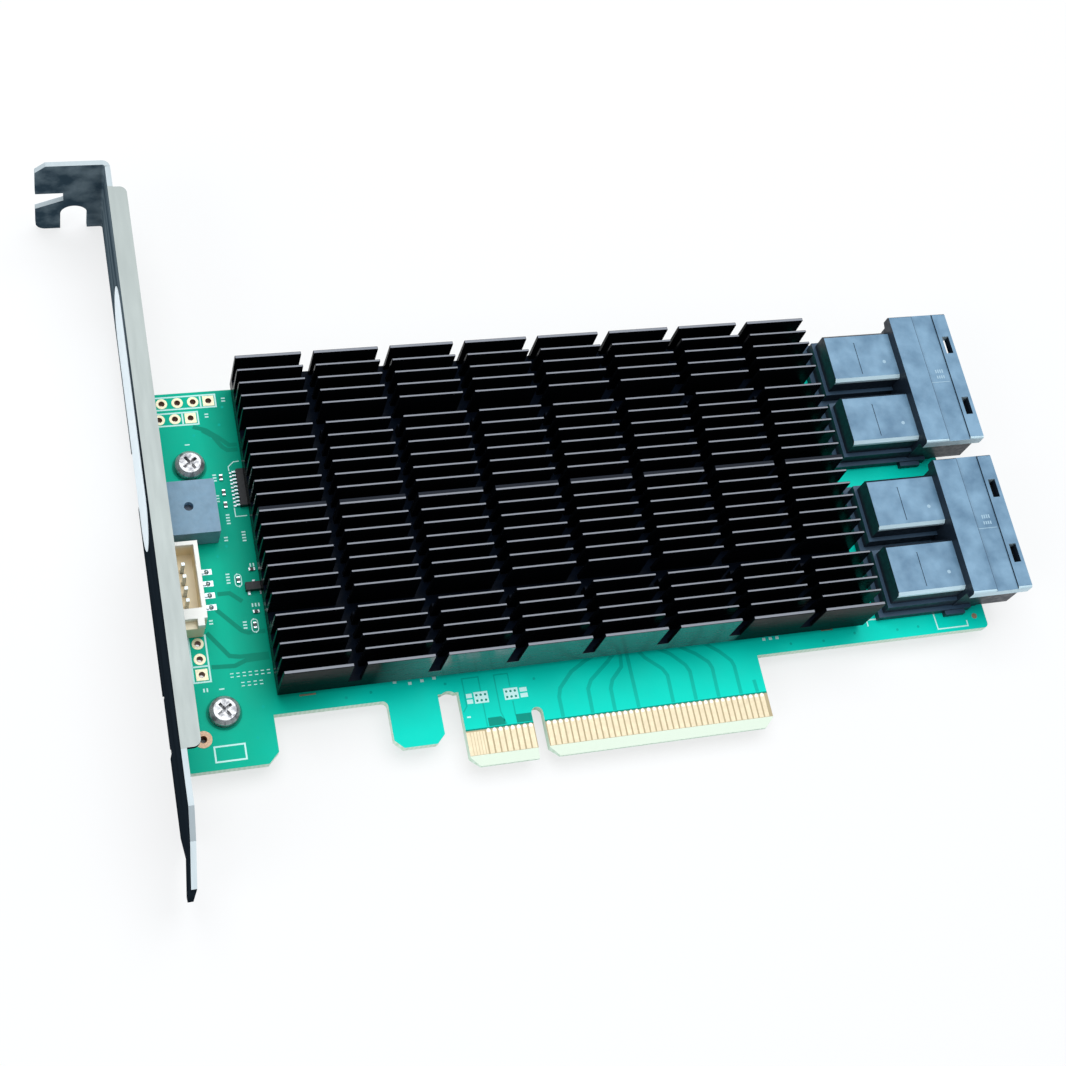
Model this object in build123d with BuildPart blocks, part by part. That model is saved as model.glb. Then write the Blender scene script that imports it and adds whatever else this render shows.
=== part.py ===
"""Host bus adapter: a low card with an eight-lane edge, a cross-cut heat sink, two dual-port cable
connectors and a full-height folded bracket.

Frame: the origin is on the card edge, at the middle of the key notch, on the bottom edge and at
mid-thickness of the board. +X runs along the card away from the bracket, +Y up the card towards
the bracket's fixing tab, +Z out of the component side. Millimetres throughout.
"""
import os
from math import radians, tan

from build123d import *

os.makedirs("parts", exist_ok=True)

# Board
board_t = 1.57
card_left = -56.0
card_top = 68.9
step_y = 12.3
block_right = -41.6
block_bottom = 4.7
block_chamfer = 1.7
hook_left = -23.65
hook_right = -15.5
hook_bottom = 4.4
hook_chamfer = 1.4
hook_slot_top = 12.65
tooth_left = -12.15
tooth_right = 39.5
tooth_chamfer = 1.5
key_w = 1.9
key_top = 8.3
bevel_h = 1.6
bevel_angle = 16.0
face = board_t / 2
copper_t = 0.06
card_corner_r = 0.8
hook_corner_r = 0.9

# Edge contacts
contact_pitch = 1.0
contact_w = 0.74
contact_bottom = 1.7
contact_top = 5.5
first_contact = 1.5
short_side_count = 11
long_side_count = 38
joined_contacts = 3

# Unfitted header holes and the ringed hole near the bracket
header_pitch = 2.54
plated_hole_r = 0.5
ring_r = 0.92
upper_header = (-44.5, 67.12)
upper_header_count = 4
second_header = (-47.75, 64.2)
second_header_count = 3
side_header = (-51.6, 20.05)
side_header_count = 3
ringed_hole = (-52.7, 9.75)
ringed_hole_r = 0.6
ringed_hole_ring_r = 1.35

# Bracket
sheet_t = 0.86
bracket_outer_x = -57.6
bracket_w = 18.42
bracket_height = 120.02
component_edge_z = 14.47
tab_top_y = 105.17
tab_depth = 11.1
inner_bend_r = 0.4
flange_w = 3.0
flange_bottom_y = 4.6
flange_setback = 5.17
tail_l = 10.95
tail_w = 10.19
tail_bend_deg = 6.0
tail_corner = 2.0
screw_slot_w = 4.42
screw_slot_x = -62.4
screw_slot_top = 2.7
tab_corner = 1.7
vee_tip_x = -64.1
vee_top_z = 6.6
vee_tip_z = 4.5
vee_bottom_z = 2.3
fold_corner_r = 1.2
lug_w = 8.0
lug_reach = 11.6
lug_relief = 1.0
screw_x = -49.05
screw_ys = (13.56, 55.4)

# Label on the bracket's outer face
label_y = 63.0
label_l = 46.0
label_w = 12.5
label_drop = 0.6
label_t = 0.08

# Bracket screws
screw_head_r = 2.35
screw_head_h = 1.7
screw_head_chamfer = 0.6
recess_l = 2.6
recess_w = 0.5
recess_depth = 1.0
recess_angle = 35
screw_shank_r = 1.2
screw_length = 3.2
screw_hole_r = 1.5
screw_pad_r = 2.75
lug_hole_r = 1.25
lug_boss_wall = 0.7
lug_boss_h = 1.8

# Heat sink
sink_left = -40.8
sink_length = 100.0
sink_bottom_y = 14.9
sink_lift = 1.3
sink_height = 9.8
sink_base_t = 2.8
block_count = 8
channel_w = 2.0
fin_t = 0.42
fin_draft = 0.19
fin_space = 1.88
wide_space = 3.13
centre_fin_t = 0.97
end_fin_t = 0.56
outer_fin_count = 5
inner_fin_count = 6
rail_w = 0.6
rail_h = 2.2

# Switch chip and its pad
chip_size = 21.0
chip_x = 10.0
neighbour_gap = 4.0
substrate_t = 0.4
cap_t = 0.7
cap_size = 19.0

# Low chips beside the switch chip
memory_setback = 21.5
memory_l = 6.0
memory_w = 5.0
memory_h = 0.8
oscillator_l = 3.2
oscillator_w = 2.5
oscillator_h = 0.9
regulator_size = 4.0
regulator_h = 0.9
memory_inset = 9.0
oscillator_gap = 3.0

# Dual-port cable connectors
port_pitch = 12.25
connector_ys = (28.05, 56.5)
port_gap = 3.4
base_step = 1.5
rear_box_l = 12.6
shroud_l = 11.2
card_overhang = 4.7
shroud_w = 25.2
shroud_body_w = 23.2
shroud_top_z = 9.6
roof_drop = 2.4
shroud_floor_z = 0.35
front_land_w = 2.6
groove_w = 4.1
groove_depth = 0.35
window_inset = 1.3
window_w = 1.3
window_l = 3.4
port_w = 10.0
port_bottom_z = 1.6
port_top_z = 8.0
port_depth = 10.6
rear_box_w = 9.2
rear_box_top_z = 7.6
top_line_inset = 5.3
mid_ledge_reach = 0.6
mid_ledge_w = 10.6
mid_ledge_top_z = 3.7
base_top_z = 1.4
base_overhang = 1.5
foot_l = 3.8
foot_setback = 1.5
foot_reach = 1.4
foot_h = 1.1
edge_r = 0.5
tongue_w = 8.6
tongue_t = 1.5
tongue_l = 6.0
blade_pitch = 0.75
blade_count = 9
blade_w = 0.4
blade_t = 0.08
tail_pin_w = 0.3
tail_row_pitch = 2.0
tail_row_count = 3
tail_pin_length = 2.3
lock_w = 0.9
lock_hole_r = 0.68
lock_length = 2.6

# Buzzer
buzzer_x = (-53.6, -46.1)
buzzer_y = (41.7, 50.9)
buzzer_h = 4.8
buzzer_hole = (-50.6, 46.4)
buzzer_hole_r = 0.75
buzzer_hole_depth = 1.4
buzzer_stand = 0.2
buzzer_corner_r = 0.25
diaphragm_t = 0.3
terminal_l = 1.6
terminal_w = 1.2
terminal_inset_x = 0.9
terminal_inset_y = 1.2

# Four-way upright wire connector
wire_x = (-55.2, -50.1)
wire_y = (26.2, 40.4)
wire_h = 5.2
wire_wall = 0.7
wire_floor = 1.2
wire_pitch = 2.0
wire_mid_y = 33.9
wire_pin_w = 0.5
wire_step_y = 28.6
wire_step_drop = 1.3
wire_pin_count = 4
wire_slot_w = 1.2
wire_slot_depth = 2.6
wire_pad_l = 1.7
wire_pad_w = 0.95
wire_pad_reach = 1.35
wire_pad_t = 0.05

# Fine-pitch logic chip beside the heat sink
logic_y = 50.75
logic_left = -41.9
logic_w = 4.4
logic_l = 6.5
logic_h = 1.0
logic_pitch = 0.65
logic_lead_count = 10
lead_w = 0.26
lead_t = 0.15
lead_reach = 1.0
lead_bend_z = 0.4

# Transistor beside the heat sink
transistor_x = -41.6
transistor_y = 33.55
transistor_l = 2.9
transistor_w = 1.3
transistor_h = 1.0
transistor_leg_w = 0.4
transistor_leg_reach = 0.6
transistor_leg_spread = 0.95
transistor_leg_t = 0.2


def slab(x0, x1, y0, y1, z0, z1, mode=Mode.ADD):
    """Plain block between opposite corners, in the part being built."""
    with Locations(((x0 + x1) / 2, (y0 + y1) / 2, (z0 + z1) / 2)):
        Box(x1 - x0, y1 - y0, z1 - z0, mode=mode)


def save(piece, name):
    piece.label = name
    export_step(piece, "parts/" + name + ".step")


def row(centre, count, pitch):
    """Evenly spaced positions about a centre."""
    return [centre + (i - (count - 1) / 2) * pitch for i in range(count)]


# Fins across the card: five, six, a thicker middle one, six and five, with a wide space beside each five
fin_plan = [end_fin_t, fin_space] + [fin_t, fin_space] * (outer_fin_count - 2) + [fin_t, wide_space]
fin_plan += [fin_t, fin_space] * inner_fin_count + [centre_fin_t, fin_space]
fin_plan += [fin_t, fin_space] * (inner_fin_count - 1) + [fin_t, wide_space]
fin_plan += [fin_t, fin_space] * (outer_fin_count - 1) + [end_fin_t]
fin_starts = [sink_bottom_y + sum(fin_plan[:i]) for i in range(len(fin_plan) + 1)]
sink_top_y = fin_starts[-1]
sink_mid_y = (sink_bottom_y + sink_top_y) / 2
sink_base_z = face + sink_lift

# The connectors stand behind the heat sink, and the board ends short of their mouths
sink_right = sink_left + sink_length
base_back_x = sink_right + port_gap
rear_box_back_x = base_back_x + base_step
shroud_back_x = rear_box_back_x + rear_box_l
shroud_front_x = shroud_back_x + shroud_l
front_land_x = shroud_front_x - front_land_w
groove_back_x = front_land_x - groove_w
foot_x = shroud_back_x - foot_setback
card_right = shroud_front_x - card_overhang

# Hole positions shared by the board and its plating
header_holes = [(upper_header[0] - i * header_pitch, upper_header[1]) for i in range(upper_header_count)]
header_holes += [(second_header[0] - i * header_pitch, second_header[1]) for i in range(second_header_count)]
header_holes += [(side_header[0], side_header[1] + i * header_pitch) for i in range(side_header_count)]
square_pads = (upper_header, second_header, side_header)
lock_spots = [
    (foot_x + foot_l / 2, y + s * (shroud_body_w / 2 + foot_reach / 2)) for y in connector_ys for s in (-1, 1)
]
port_ys = [y + s * port_pitch / 2 for y in connector_ys for s in (-1, 1)]


def board():
    hook_slot_x = (hook_right + tooth_left) / 2
    hook_slot_r = (tooth_left - hook_right) / 2
    edge = [
        (card_left, card_top),
        (card_left, block_bottom),
        (block_right - block_chamfer, block_bottom),
        (block_right, block_bottom + block_chamfer),
        (block_right, step_y),
        (hook_left, step_y),
        (hook_left, hook_bottom + hook_chamfer),
        (hook_left + hook_chamfer, hook_bottom),
        (hook_right - hook_chamfer, hook_bottom),
        (hook_right, hook_bottom + hook_chamfer),
        (hook_right, step_y),
        (tooth_left, step_y),
        (tooth_left, tooth_chamfer),
        (tooth_left + tooth_chamfer, 0),
        (-key_w / 2, 0),
        (-key_w / 2, key_top - key_w / 2),
        (key_w / 2, key_top - key_w / 2),
        (key_w / 2, tooth_chamfer),
        (key_w / 2 + tooth_chamfer, 0),
        (tooth_right - tooth_chamfer, 0),
        (tooth_right, tooth_chamfer),
        (tooth_right, step_y),
        (card_right, step_y),
        (card_right, card_top),
    ]
    with BuildPart() as card:
        with BuildSketch(Plane.XY.offset(-face)):
            with BuildLine():
                Polyline(*edge, close=True)
            make_face()
            with Locations((0, key_top - key_w / 2)):
                Circle(key_w / 2, mode=Mode.SUBTRACT)
            with Locations((hook_slot_x, hook_slot_top - hook_slot_r)):
                Circle(hook_slot_r, mode=Mode.SUBTRACT)
            with Locations(*header_holes):
                Circle(plated_hole_r, mode=Mode.SUBTRACT)
            with Locations(ringed_hole):
                Circle(ringed_hole_r, mode=Mode.SUBTRACT)
            with Locations(*[(screw_x, y) for y in screw_ys]):
                Circle(screw_hole_r, mode=Mode.SUBTRACT)
            with Locations(*lock_spots):
                Circle(lock_hole_r, mode=Mode.SUBTRACT)
        extrude(amount=board_t)
        corners = card.edges().filter_by(Axis.Z)
        fillet(corners.group_by(Axis.X)[-1], radius=card_corner_r)
        inner = [e for e in card.edges().filter_by(Axis.Z)
                 if abs(e.center().X - hook_left) < 0.01 and abs(e.center().Y - step_y) < 0.01]
        fillet(inner, radius=hook_corner_r)
        # The edge is bevelled on both faces so that it slides into its socket
        drop = bevel_h * tan(radians(bevel_angle))
        for s in (-1, 1):
            with BuildSketch(Plane.YZ.offset(tooth_left - 1)):
                with BuildLine():
                    Polyline((-1, s * face + s), (bevel_h, s * face + s), (bevel_h, s * face),
                             (0, s * (face - drop)), (-1, s * (face - drop)), close=True)
                make_face()
            extrude(amount=tooth_right - tooth_left + 2, mode=Mode.SUBTRACT)
    save(card.part, "board")


def edge_contacts():
    short_side = [-first_contact - i * contact_pitch for i in range(short_side_count)]
    long_side = [first_contact + i * contact_pitch for i in range(long_side_count)]
    joined_right = short_side[-joined_contacts] + contact_w / 2
    with BuildPart() as contacts:
        for z, joined in ((face, True), (-face - copper_t, False)):
            xs = long_side + (short_side[:-joined_contacts] if joined else short_side)
            with BuildSketch(Plane.XY.offset(z)):
                with Locations(*[(x, (contact_bottom + contact_top) / 2) for x in xs]):
                    Rectangle(contact_w, contact_top - contact_bottom)
                if joined:
                    with Locations(((tooth_left + joined_right) / 2, (contact_bottom + contact_top) / 2)):
                        Rectangle(joined_right - tooth_left, contact_top - contact_bottom)
            extrude(amount=copper_t)
    save(contacts.part, "edge_contacts")


def pads():
    """Plated pads about the header holes, the ringed hole and the screws."""
    with BuildPart() as rings:
        with BuildSketch(Plane.XY.offset(face)):
            with Locations(*[h for h in header_holes if h not in square_pads]):
                Circle(ring_r)
            with Locations(*square_pads):
                Rectangle(2 * ring_r, 2 * ring_r)
            with Locations(*header_holes):
                Circle(plated_hole_r, mode=Mode.SUBTRACT)
        extrude(amount=copper_t)
    save(rings.part, "header_pads")
    with BuildPart() as ring:
        with BuildSketch(Plane.XY.offset(face)):
            with Locations(ringed_hole):
                Circle(ringed_hole_ring_r)
                Circle(ringed_hole_r, mode=Mode.SUBTRACT)
        extrude(amount=copper_t)
    save(ring.part, "copper_ring")
    with BuildPart() as washers:
        with BuildSketch(Plane.XY.offset(face)):
            with Locations(*[(screw_x, y) for y in screw_ys]):
                Circle(screw_pad_r)
                Circle(screw_hole_r, mode=Mode.SUBTRACT)
        extrude(amount=copper_t)
    save(washers.part, "screw_pads")


def bracket():
    """One folded sheet, from the fixing tab down to the tapered tail."""
    z_high = face + component_edge_z
    z_low = z_high - bracket_w
    inner_x = bracket_outer_x + sheet_t
    tip_y = tab_top_y - bracket_height
    tail_side = (bracket_w - tail_w) / 2
    taper_start_y = tip_y + tail_l
    taper_end_y = taper_start_y - tail_side
    flange_top_y = tab_top_y - flange_setback
    lean = (taper_end_y - tip_y) * tan(radians(tail_bend_deg))
    slope = [
        (bracket_outer_x - tab_depth, tab_top_y - sheet_t),
        (bracket_outer_x, tab_top_y - sheet_t),
        (bracket_outer_x, taper_end_y),
        (bracket_outer_x - lean, tip_y),
        (inner_x - lean, tip_y),
        (inner_x, taper_end_y),
        (inner_x, tab_top_y),
        (bracket_outer_x - tab_depth, tab_top_y),
    ]
    with BuildPart() as plate:
        with BuildSketch(Plane.XY.offset(z_low)):
            with BuildLine():
                Polyline(*slope, close=True)
            make_face()
        extrude(amount=bracket_w)
        upright = plate.edges().filter_by(Axis.Z)
        outside = [e for e in upright if abs(e.center().X - inner_x) < 0.01
                   and abs(e.center().Y - tab_top_y) < 0.01]
        inside = [e for e in upright if abs(e.center().X - bracket_outer_x) < 0.01
                  and abs(e.center().Y - tab_top_y + sheet_t) < 0.01]
        fillet(outside, radius=inner_bend_r + sheet_t)
        fillet(inside, radius=inner_bend_r)
        # Both long edges taper in to the narrow tail
        for edge_z, s in ((z_low, 1), (z_high, -1)):
            with BuildSketch(Plane.YZ.offset(bracket_outer_x - 3)):
                with BuildLine():
                    Polyline((taper_start_y, edge_z), (taper_end_y, edge_z + s * tail_side),
                             (tip_y - 1, edge_z + s * tail_side), (tip_y - 1, edge_z - s),
                             (taper_start_y, edge_z - s), close=True)
                make_face()
            extrude(amount=6, mode=Mode.SUBTRACT)
        with BuildSketch(Plane.YZ.offset(bracket_outer_x - 3)):
            with BuildLine():
                Polyline((tip_y - 1, z_low), (tip_y - 1, z_low + tail_side + tail_corner),
                         (tip_y, z_low + tail_side + tail_corner),
                         (tip_y + tail_corner * 0.6, z_low + tail_side), (tip_y + tail_corner, z_low),
                         close=True)
            make_face()
        extrude(amount=6, mode=Mode.SUBTRACT)
        # Fixing tab: rounded corners, a vee in its free edge and a slot for the case screw
        tab_edge = bracket_outer_x - tab_depth
        slot_r = screw_slot_w / 2
        with BuildSketch(Plane.XZ.offset(-tab_top_y - 1)):
            with BuildLine():
                Polyline((tab_edge - 1, z_high + 1), (tab_edge - 1, z_high - tab_corner),
                         (tab_edge, z_high - tab_corner), (tab_edge + tab_corner, z_high),
                         (tab_edge + tab_corner, z_high + 1), close=True)
            make_face()
            with BuildLine():
                Polyline((tab_edge - 1, face + vee_top_z), (vee_tip_x, face + vee_top_z),
                         (vee_tip_x, face + vee_tip_z), (tab_edge, face + vee_bottom_z),
                         (tab_edge - 1, face + vee_bottom_z), close=True)
            make_face()
            with Locations((screw_slot_x, face + screw_slot_top - slot_r)):
                Circle(slot_r)
            with Locations((screw_slot_x, (z_low - 1 + face + screw_slot_top - slot_r) / 2)):
                Rectangle(screw_slot_w, face + screw_slot_top - slot_r - z_low + 1)
        extrude(amount=sheet_t + 2, mode=Mode.SUBTRACT)
        low_corner = [e for e in plate.edges().filter_by(Axis.Y)
                      if abs(e.center().X - tab_edge) < 0.01 and abs(e.center().Z - z_low) < 0.01]
        fillet(low_corner, radius=tab_corner)
        # Stiffening flange along the component-side edge
        slab(bracket_outer_x, bracket_outer_x + flange_w, flange_bottom_y, flange_top_y,
             z_high - sheet_t, z_high)
        free = [e for e in plate.edges().filter_by(Axis.Z)
                if abs(e.center().X - bracket_outer_x - flange_w) < 0.01]
        fillet(free, radius=fold_corner_r)
        # Mounting lugs fold in from the solder-side edge and lie under the board
        for y in screw_ys:
            for s in (-1, 1):
                relief_y = y + s * (lug_w + lug_relief) / 2
                slab(bracket_outer_x - 1, inner_x + 1, relief_y - lug_relief / 2, relief_y + lug_relief / 2,
                     z_low - 1, -face + 0.4, mode=Mode.SUBTRACT)
            slab(bracket_outer_x - 1, inner_x + 1, y - lug_w / 2, y + lug_w / 2,
                 z_low - 1, -face - sheet_t, mode=Mode.SUBTRACT)
            slab(bracket_outer_x + 0.01, inner_x + lug_reach, y - lug_w / 2, y + lug_w / 2,
                 -face - sheet_t, -face)
            with Locations((screw_x, y, -face - lug_boss_h / 2)):
                Cylinder(lug_hole_r + lug_boss_wall, lug_boss_h)
                Cylinder(lug_hole_r, lug_boss_h + 1, mode=Mode.SUBTRACT)
        lug_ends = [e for e in plate.edges().filter_by(Axis.Z)
                    if abs(e.center().X - inner_x - lug_reach) < 0.01]
        fillet(lug_ends, radius=fold_corner_r)
    save(plate.part, "bracket")


def bracket_screws():
    with BuildPart() as screws:
        for y in screw_ys:
            for radius, length in ((screw_head_r, screw_head_h), (screw_shank_r, -screw_length)):
                with BuildSketch(Plane.XY.offset(face + copper_t)):
                    with Locations((screw_x, y)):
                        Circle(radius)
                extrude(amount=length)
        rims = [e for e in screws.edges().filter_by(GeomType.CIRCLE)
                if abs(e.center().Z - face - copper_t - screw_head_h) < 0.01]
        chamfer(rims, length=screw_head_chamfer)
        for y in screw_ys:
            with BuildSketch(Plane.XY.offset(face + copper_t + screw_head_h)):
                with Locations((screw_x, y)):
                    Rectangle(recess_l, recess_w, rotation=recess_angle)
                    Rectangle(recess_w, recess_l, rotation=recess_angle)
            extrude(amount=-recess_depth, mode=Mode.SUBTRACT)
    save(screws.part, "bracket_screws")


def bracket_label():
    z_mid = face + component_edge_z - bracket_w / 2
    with BuildPart() as label:
        with BuildSketch(Plane.YZ.offset(bracket_outer_x - label_t)):
            with Locations((label_y, z_mid - label_drop)):
                RectangleRounded(label_l, label_w, label_w / 2 - 0.2)
        extrude(amount=label_t)
    save(label.part, "bracket_label")


def heat_sink():
    """Extruded comb of tapered fins on a thick base, cross-cut into blocks."""
    top_z = sink_base_z + sink_height
    floor_z = sink_base_z + sink_base_t
    block_w = (sink_length - (block_count - 1) * channel_w) / block_count
    with BuildPart() as sink:
        with BuildSketch(Plane.YZ.offset(sink_left)):
            with Locations((sink_mid_y, sink_base_z + sink_height / 2)):
                Rectangle(sink_top_y - sink_bottom_y, sink_height)
            for y0, y1 in zip(fin_starts[1::2], fin_starts[2::2]):
                with BuildLine():
                    Polyline((y0, top_z + 1), (y0, top_z), (y0 + fin_draft, floor_z),
                             (y1 - fin_draft, floor_z), (y1, top_z), (y1, top_z + 1), close=True)
                make_face(mode=Mode.SUBTRACT)
                if y1 - y0 > fin_space + 0.1:
                    with Locations((y0 + (rail_w + fin_draft) / 2, floor_z + rail_h / 2)):
                        Rectangle(rail_w + fin_draft, rail_h)
        extrude(amount=sink_length)
        with BuildSketch(Plane.XZ.offset(-sink_top_y - 1)):
            for i in range(block_count - 1):
                x = sink_left + (i + 1) * block_w + (i + 0.5) * channel_w
                with Locations((x, (floor_z + top_z) / 2 + 0.5)):
                    Rectangle(channel_w, top_z - floor_z + 1)
        extrude(amount=sink_top_y - sink_bottom_y + 2, mode=Mode.SUBTRACT)
    save(sink.part, "heat_sink")


def square_plate(name, size, z0, z1):
    """Square plate under the middle of the heat sink."""
    with BuildPart() as plate:
        with BuildSketch(Plane.XY.offset(z0)):
            with Locations((chip_x, sink_mid_y)):
                Rectangle(size, size)
        extrude(amount=z1 - z0)
    save(plate.part, name)


def switch_chip():
    cap_z = face + substrate_t
    square_plate("switch_chip_substrate", chip_size, face, cap_z)
    square_plate("switch_chip_cap", cap_size, cap_z, cap_z + cap_t)
    square_plate("thermal_pad", cap_size, cap_z + cap_t, sink_base_z)


def port_housing(mid_y, name):
    """One moulding: two rear boxes on a stepped base, and a front shroud with two port cavities."""
    half = shroud_w / 2
    body = shroud_body_w / 2
    top = face + shroud_top_z
    ports = (mid_y - port_pitch / 2, mid_y + port_pitch / 2)
    with BuildPart() as housing:
        # Front shroud, its roof wider than its sides
        with BuildSketch(Plane.YZ.offset(shroud_back_x)):
            with BuildLine():
                Polyline((mid_y - body, face + shroud_floor_z), (mid_y + body, face + shroud_floor_z),
                         (mid_y + body, top - roof_drop), (mid_y + half, top - roof_drop + 0.3),
                         (mid_y + half, top), (mid_y - half, top), (mid_y - half, top - roof_drop + 0.3),
                         (mid_y - body, top - roof_drop), close=True)
            make_face()
        extrude(amount=shroud_front_x - shroud_back_x)
        long_edges = [e for e in housing.edges().filter_by(Axis.X) if abs(e.center().Z - top) < 0.01]
        fillet(long_edges, radius=edge_r)
        slab(groove_back_x, front_land_x, mid_y - half - 1, mid_y + half + 1,
             top - groove_depth, top + 1, mode=Mode.SUBTRACT)
        # Stepped base, ledges and rear boxes
        slab(base_back_x, card_right - 3, mid_y - port_pitch / 2 - rear_box_w / 2 - base_overhang,
             mid_y + port_pitch / 2 + rear_box_w / 2 + base_overhang, face, face + base_top_z)
        for y in ports:
            slab(rear_box_back_x - mid_ledge_reach, shroud_back_x, y - mid_ledge_w / 2, y + mid_ledge_w / 2,
                 face + base_top_z, face + mid_ledge_top_z)
        for y in ports:
            with BuildSketch(Plane.YZ.offset(rear_box_back_x)):
                with BuildLine():
                    Polyline((y - rear_box_w / 2, face + mid_ledge_top_z),
                             (y + rear_box_w / 2, face + mid_ledge_top_z),
                             (y + rear_box_w / 2, face + rear_box_top_z - edge_r),
                             (y + rear_box_w / 2 - edge_r, face + rear_box_top_z),
                             (y - rear_box_w / 2 + edge_r, face + rear_box_top_z),
                             (y - rear_box_w / 2, face + rear_box_top_z - edge_r), close=True)
                make_face()
            extrude(amount=shroud_back_x - rear_box_back_x)
            line_x = rear_box_back_x + top_line_inset
            slab(line_x, line_x + 0.2, y - rear_box_w * 0.38, y + rear_box_w * 0.3,
                 face + rear_box_top_z - 0.15, face + rear_box_top_z + 1, mode=Mode.SUBTRACT)
        # Feet that carry the board locks
        for s in (-1, 1):
            y0 = mid_y + s * (body - 0.5)
            y1 = mid_y + s * (body + foot_reach)
            slab(foot_x, foot_x + foot_l, min(y0, y1), max(y0, y1), face, face + foot_h)
        slab(shroud_back_x, shroud_front_x - 6, mid_y - body, mid_y + body, face, face + shroud_floor_z)
        # Port cavities and latch windows
        for y in ports:
            slab(shroud_front_x - port_depth, shroud_front_x + 1, y - port_w / 2, y + port_w / 2,
                 face + port_bottom_z, face + port_top_z, mode=Mode.SUBTRACT)
            window_x = shroud_front_x - window_inset
            slab(window_x - window_w / 2, window_x + window_w / 2, y - window_l / 2, y + window_l / 2,
                 face + port_top_z - 1, top + 1, mode=Mode.SUBTRACT)
    save(housing.part, name)


def port_insert(mid_y, side):
    """Contact tongue, its blades and the solder tails of both ports of one connector."""
    tongue_z = face + (port_bottom_z + port_top_z) / 2
    back_x = shroud_front_x - port_depth
    ports = (mid_y - port_pitch / 2, mid_y + port_pitch / 2)
    with BuildPart() as tongue:
        for y in ports:
            slab(back_x, back_x + tongue_l, y - tongue_w / 2, y + tongue_w / 2,
                 tongue_z - tongue_t / 2, tongue_z + tongue_t / 2)
    save(tongue.part, "port_tongues_" + side)
    rows = [b for y in ports for b in row(y, blade_count, blade_pitch)]
    with BuildPart() as blades:
        for z in (tongue_z + tongue_t / 2, tongue_z - tongue_t / 2 - blade_t):
            with BuildSketch(Plane.XY.offset(z)):
                with Locations(*[(back_x + tongue_l / 2, b) for b in rows]):
                    Rectangle(tongue_l - 0.8, blade_w)
            extrude(amount=blade_t)
    save(blades.part, "port_blades_" + side)
    with BuildPart() as tails:
        with BuildSketch(Plane.XY.offset(-face)):
            xs = row((rear_box_back_x + shroud_back_x) / 2, tail_row_count, tail_row_pitch)
            with Locations(*[(x, b) for x in xs for b in rows]):
                Rectangle(tail_pin_w, tail_pin_w)
        extrude(amount=-(tail_pin_length - board_t))
    save(tails.part, "port_tails_" + side)


def board_locks():
    with BuildPart() as locks:
        with BuildSketch(Plane.XY.offset(face)):
            with Locations(*lock_spots):
                Rectangle(lock_w, lock_w)
        extrude(amount=-lock_length)
    save(locks.part, "board_locks")


def buzzer():
    x_mid = sum(buzzer_x) / 2
    y_mid = sum(buzzer_y) / 2
    with BuildPart() as case:
        with BuildSketch(Plane.XY.offset(face + buzzer_stand)):
            with Locations((x_mid, y_mid)):
                Rectangle(buzzer_x[1] - buzzer_x[0], buzzer_y[1] - buzzer_y[0])
        extrude(amount=buzzer_h - buzzer_stand)
        upright = case.edges().filter_by(Axis.Z)
        fillet(upright, radius=buzzer_corner_r)
        with BuildSketch(Plane.XY.offset(face + buzzer_h - buzzer_hole_depth)):
            with Locations(buzzer_hole):
                Circle(buzzer_hole_r)
        extrude(amount=2, mode=Mode.SUBTRACT)
    save(case.part, "buzzer_case")
    with BuildPart() as diaphragm:
        with BuildSketch(Plane.XY.offset(face + buzzer_h - buzzer_hole_depth)):
            with Locations(buzzer_hole):
                Circle(buzzer_hole_r)
        extrude(amount=diaphragm_t)
    save(diaphragm.part, "buzzer_diaphragm")
    with BuildPart() as legs:
        with BuildSketch(Plane.XY.offset(face)):
            with Locations(*[(x, y) for x in (buzzer_x[0] + terminal_inset_x, buzzer_x[1] - terminal_inset_x)
                             for y in (buzzer_y[0] + terminal_inset_y, buzzer_y[1] - terminal_inset_y)]):
                Rectangle(terminal_l, terminal_w)
        extrude(amount=buzzer_stand)
    save(legs.part, "buzzer_terminals")


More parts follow.
